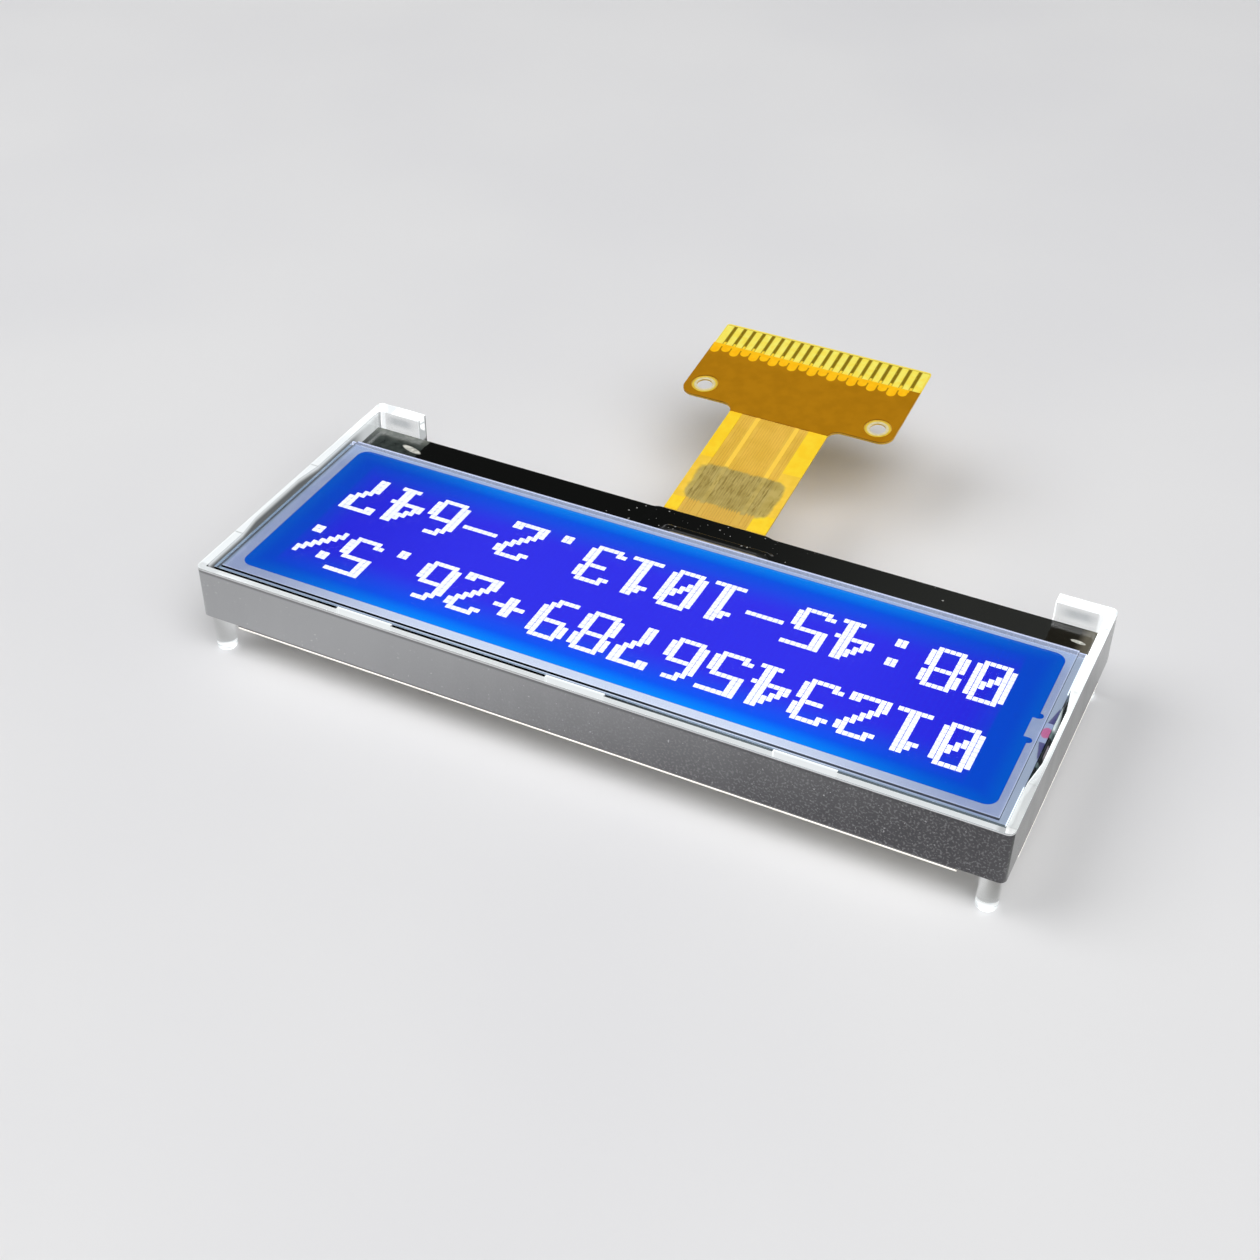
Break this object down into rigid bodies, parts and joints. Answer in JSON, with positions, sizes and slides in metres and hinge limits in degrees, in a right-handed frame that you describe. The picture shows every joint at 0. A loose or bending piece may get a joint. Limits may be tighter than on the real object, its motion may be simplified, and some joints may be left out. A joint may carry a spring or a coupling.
{
  "type": "graphic lcd module",
  "caption": "Slim dot-matrix liquid crystal display: a bonded glass cell in a clear side-lit frame with legs, and a flexible amber tail with gold solder contacts.",
  "frame": {"origin": "centre of the four legs, on the underside of the clear frame that seats on a board", "axes": "+X along the rows of characters in reading direction, +Y towards the top of the display, +Z towards the viewer; the tail leaves towards -Y"},
  "size_m": [0.0564, 0.0429, 0.0088],
  "materials": {
    "clear_acrylic": "clear polished acrylic",
    "white_film": "white reflective film",
    "lamp_board": "white solder mask",
    "lamp_body": "white moulded plastic",
    "lamp_window": "yellow phosphor resin",
    "tinned_metal": "tinned strip",
    "black_tape": "glossy black",
    "adhesive": "double sided tape",
    "polariser": "glossy film",
    "glass": "clear soda-lime glass",
    "seal_glue": "cured grey seal",
    "blue_field": "lit blue field",
    "lit_dot": "lit white",
    "clear_glue": "clear resin",
    "silicon": "polished silicon",
    "bond_film": "cured conductive film",
    "amber_film": "amber polyimide film",
    "copper": "copper under clear cover",
    "gold": "gold plating",
    "brown_cover": "amber-brown cover film",
    "pad_glue": "olive glue"
  },
  "bodies": {
    "root": {"light_guide": "clear_acrylic", "reflector_film": "white_film", "led_board": "lamp_board", "led_packages": "lamp_body", "led_windows": "lamp_window", "backlight_leads": "tinned_metal", "led_tape": "black_tape", "diffuser_film": "white_film", "adhesive_strips": "adhesive", "rear_polariser": "polariser", "rear_glass": "glass", "perimeter_seal": "seal_glue", "liquid_crystal": "blue_field", "lit_dots": "lit_dot", "end_seal": "clear_glue", "front_glass": "glass", "front_polariser": "polariser", "driver_die": "silicon", "bond_films": "bond_film", "ledge_cover": "black_tape", "tail_film": "amber_film", "tail_traces": "copper", "tail_contacts": "gold", "tail_cover": "brown_cover", "hole_rings": "gold", "neck_pad": "pad_glue"}
  },
  "joints": []
}
